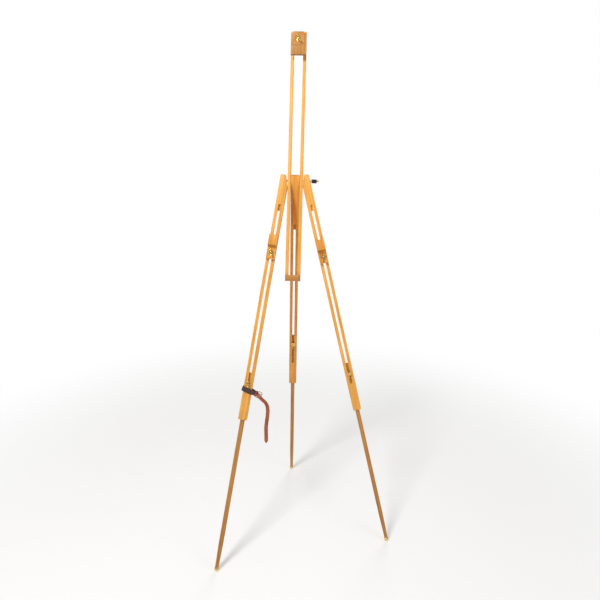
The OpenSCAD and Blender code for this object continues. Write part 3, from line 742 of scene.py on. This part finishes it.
STATIONS, TAIL_DIRECTIONS, TAIL_LENGTHS = tail_stations()


def strap_tail():
    """The free tail, which narrows to a pointed tip."""
    bm = bmesh.new()
    ribbon(bm, STATIONS, False)
    return add_object("strap_tail", smooth_mesh(bm, "strap_tail"), LEFT, "strap", [RED_HIDE])


def strap_holes():
    """Rims of the tail's holes, on both faces; each is a shallow hollow in dark leather, painted shade that stands
    in for a hole through the strap.
    """
    segments = 16
    rim = [(0.0, -0.25), (1.25, -0.25), (1.5, 0.05), (1.75, 0.02), (1.8, -0.2)]
    turns = [2 * math.pi * k / segments for k in range(segments)]
    bm = bmesh.new()
    for along in range(62, 135, 18):
        i = min(range(len(TAIL_LENGTHS)), key=lambda k: abs(TAIL_LENGTHS[k] - along))
        c, across, normal, _ = STATIONS[i]
        for face_side in (-1, 1):
            z = normal * face_side
            middle = c + z * (STRAP_T / 2 - 0.1)
            rings = []
            for radius, rise in rim:
                out = [math.cos(a) * across + math.sin(a) * TAIL_DIRECTIONS[i] for a in turns]
                points = [middle + z * rise + radius * way for way in out[:segments if radius else 1]]
                rings.append([bm.verts.new(on_left(point)) for point in points])
            for low, high in zip(rings, rings[1:]):
                for k in range(segments):
                    j = (k + 1) % segments
                    corners = [low[k % len(low)], low[j % len(low)], high[j], high[k]]
                    bm.faces.new(list(dict.fromkeys(corners)))
    # The dark leather here is painted shade for the holes, darker than the red tail they sit in.
    return add_object("strap_holes", smooth_mesh(bm, "strap_holes"), LEFT, "strap", [DARK_HIDE])


def strap_stitches():
    """Two rows of stitches on each run, between the leg and the keeper."""
    bm = bmesh.new()
    slope = (LOOP_SIDE - 1 - RUN_Y) / (SPREAD_X - MEET_X)
    for face_side in (-1, 1):
        for row in (-1, 1):
            for k in range(5):
                x = -20.5 - 1.7 * k
                rise = RUN_Y + STRAP_T / 2 - 0.1 + max(0.0, x - MEET_X) * slope
                c = in_loop((x, face_side * rise, row * (STRAP_W / 2 - 2.6)))
                for v in bmesh.ops.create_icosphere(bm, subdivisions=2, radius=1)["verts"]:
                    across = Vector((0, 1, 0)) * (v.co.y * 0.3) + LOOP_UP * (v.co.z * 0.3)
                    v.co = on_left(c + LOOP_RUN * (v.co.x * 0.75) + across)
    return add_object("strap_stitches", smooth_mesh(bm, "strap_stitches"), LEFT, "strap", [THREAD])


for piece in [strap_loop(), strap_tail(), strap_holes(), strap_stitches()]:
    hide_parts("strap")


def wire_piece(node, points, radius, closed):
    """Round wire along points of the loop's frame, in place of a CAD node."""
    segments = 14
    turns = [2 * math.pi * k / segments for k in range(segments)]
    path = [in_loop(q) for q in drawn(points, closed, 0.8, 3)]
    directions = tangents(path, closed)
    across = directions[0].orthogonal().normalized()
    bm = bmesh.new()
    rings = []
    for q, d in zip(path, directions):
        across = (across - across.dot(d) * d).normalized()
        other = d.cross(across)
        rings.append([bm.verts.new(on_left(q + radius * (math.cos(a) * across + math.sin(a) * other)))
                      for a in turns])
    skin(bm, rings, closed)
    made = add_object(node + "_look", smooth_mesh(bm, node + "_wire", 60), LEFT, node, [WIRE])
    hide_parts(node)


FRAME_HALF = 11
FRAME_END = -53
FRAME_CORNER = 4
PRONG_TURN_R = 2.2
PRONG_Z = 4

wire_piece("buckle_frame", [
    (BAR_X, 0, -FRAME_HALF), (BAR_X, 0, FRAME_HALF), (FRAME_END + 3, 0, FRAME_HALF),
    (FRAME_END, 0, FRAME_HALF - FRAME_CORNER), (FRAME_END, 0, FRAME_CORNER - FRAME_HALF),
    (FRAME_END + 3, 0, -FRAME_HALF)], 1.2, True)
prong_loop = [(BAR_X + PRONG_TURN_R * math.cos(a), PRONG_TURN_R * math.sin(a), PRONG_Z) for a in
              (math.radians(d) for d in range(-200, 91, 20))]
prong_arm = [(-38.4, 2.2, PRONG_Z), (-45, 2.4, PRONG_Z), (-51, 2.3, PRONG_Z), (-54, 1.9, PRONG_Z)]
wire_piece("buckle_prong", prong_loop + prong_arm, 0.9, False)


def keeper_band():
    """The narrow leather band round both runs of the strap."""
    middle = (MEET_X + BAR_X) / 2 + 0.5
    half_y, half_z, r = 5.05, 9.25, 1.8
    path = []
    for sy, sz, start in ((1, 1, 0), (-1, 1, 90), (-1, -1, 180), (1, -1, 270)):
        for d in range(0, 91, 18):
            a = math.radians(start + d)
            path.append((middle, sy * (half_y - r) + r * math.cos(a), sz * (half_z - r) + r * math.sin(a)))
    bm = bmesh.new()
    band(bm, drawn(path, True, 1.0, 1), LOOP_RUN, strap_section(2.5, 1.4))
    made = add_object("strap_keeper_look", smooth_mesh(bm, "keeper_band"), LEFT, "strap_keeper",
                      [RED_HIDE])
    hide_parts("strap_keeper")


keeper_band()


def strap_screw():
    """Round-headed screw with a slot, in the strap's outer side."""
    origin = on_left(in_loop((0, 0, 0)))
    axis = (on_left(in_loop((1, 0, 0))) - origin).normalized()
    side = (on_left(in_loop((0, 0, 1))) - origin).normalized()
    head = (LOOP_OUT + STRAP_T) * MM
    shank_r = 1.5 * MM
    slot_floor = head + 0.55 * MM
    slot_half = 0.5 * MM

    def build(bm):
        lathe(bm, [(0, 9 * MM), (shank_r, 9.6 * MM), (shank_r, head), (0, head)], 20)
        lathe(bm, dome(3.6 * MM, head, head + 1.6 * MM), 40)
        for v in bm.verts:
            if v.co.z > slot_floor and abs(v.co.y) < slot_half:
                v.co.z = slot_floor

    brass_piece("strap_screw", LEFT @ matrix_from(side, axis.cross(side), axis, origin), build)


strap_screw()


# ---- Camera, light and floor --------------------------------------------------------------

CAMERA_PLACE = PIVOT + Vector((0.0541, -1.5978, -0.0008))
SOFT_LIGHT = 0.3         # the world's strength for all but the camera, which sees plain white


def aim(yaw, pitch, roll):
    """Camera rotation from compass angle, angle above the horizon and roll, in degrees."""
    a, e, r = (math.radians(v) for v in (yaw, pitch, roll))
    ahead = Vector((math.sin(a) * math.cos(e), math.cos(a) * math.cos(e), math.sin(e)))
    right = Vector((math.cos(a), -math.sin(a), 0))
    up = right.cross(ahead)
    x = math.cos(r) * right + math.sin(r) * up
    y = -math.sin(r) * right + math.cos(r) * up
    return matrix_from(x, y, -ahead, Vector())


camera = bpy.data.objects.new("camera", bpy.data.cameras.new("camera"))
bpy.context.scene.collection.objects.link(camera)
camera.data.sensor_width = 36
camera.data.lens = 26.4
camera.matrix_world = Matrix.Translation(CAMERA_PLACE) @ aim(-1.01, -15.09, 1.32)
bpy.context.scene.camera = camera


def area_light(name, place, target, size, power, colour=(1, 1, 1)):
    """A round soft light at place, turned to target."""
    light = bpy.data.lights.new(name, "AREA")
    light.shape = "DISK"
    light.size = size
    light.energy = power
    light.color = colour
    made = bpy.data.objects.new(name, light)
    bpy.context.scene.collection.objects.link(made)
    made.location = place
    made.rotation_euler = (Vector(target) - Vector(place)).to_track_quat("-Z", "Y").to_euler()


area_light("key", (-1.2, -1.7, 3.0), (0, 0, 1.1), 0.8, 60, (1, 0.99, 0.97))
area_light("fill", (2.4, -1.9, 1.6), (0, 0, 0.8), 2.0, 16, (1, 1, 1))
area_light("rim", (0.6, 2.6, 2.6), (0, 0, 1.0), 1.8, 22)


def studio_world():
    """Soft white surroundings, dimmer for the easel than for the camera."""
    world = bpy.data.worlds.new("studio")
    bpy.context.scene.world = world
    world.use_nodes = True
    sky = world.node_tree
    backdrop = sky.nodes["Background"]
    backdrop.inputs["Color"].default_value = (1, 1, 1, 1)
    soft = sky.nodes.new("ShaderNodeBackground")
    soft.inputs["Color"].default_value = (1, 0.99, 0.98, 1)
    soft.inputs["Strength"].default_value = SOFT_LIGHT
    seen = sky.nodes.new("ShaderNodeMixShader")
    sky.links.new(sky.nodes.new("ShaderNodeLightPath").outputs["Is Camera Ray"], seen.inputs[0])
    sky.links.new(soft.outputs[0], seen.inputs[1])
    sky.links.new(backdrop.outputs[0], seen.inputs[2])
    sky.links.new(seen.outputs[0], sky.nodes["World Output"].inputs["Surface"])


studio_world()
bpy.context.scene.view_settings.view_transform = "Standard"


def studio_floor():
    """A pale floor that fades into the white of the studio."""
    radius = 9.0
    mesh = bpy.data.meshes.new("floor")
    bm = bmesh.new()
    bmesh.ops.create_circle(bm, cap_ends=True, segments=96, radius=radius)
    bm.to_mesh(mesh)
    bm.free()
    made = bpy.data.objects.new("floor", mesh)
    bpy.context.scene.collection.objects.link(made)
    g = Graph("studio_floor")
    g.shader.inputs["Base Color"].default_value = (0.86, 0.86, 0.86, 1)
    g.shader.inputs["Emission Color"].default_value = (1, 1, 1, 1)
    g.shader.inputs["Emission Strength"].default_value = 0.24
    g.shader.inputs["Roughness"].default_value = 0.75
    length = g.node("ShaderNodeVectorMath", operation="LENGTH")
    g.link(g.place, length.inputs[0])
    fade = g.span(length.outputs["Value"], 0.7, 2.2)
    glow = g.node("ShaderNodeEmission")
    mixer = g.node("ShaderNodeMixShader")
    g.link(fade, mixer.inputs[0])
    g.link(g.shader.outputs[0], mixer.inputs[1])
    g.link(glow.outputs[0], mixer.inputs[2])
    g.link(mixer.outputs[0], g.tree.nodes["Material Output"].inputs["Surface"])
    mesh.materials.append(g.material)


studio_floor()
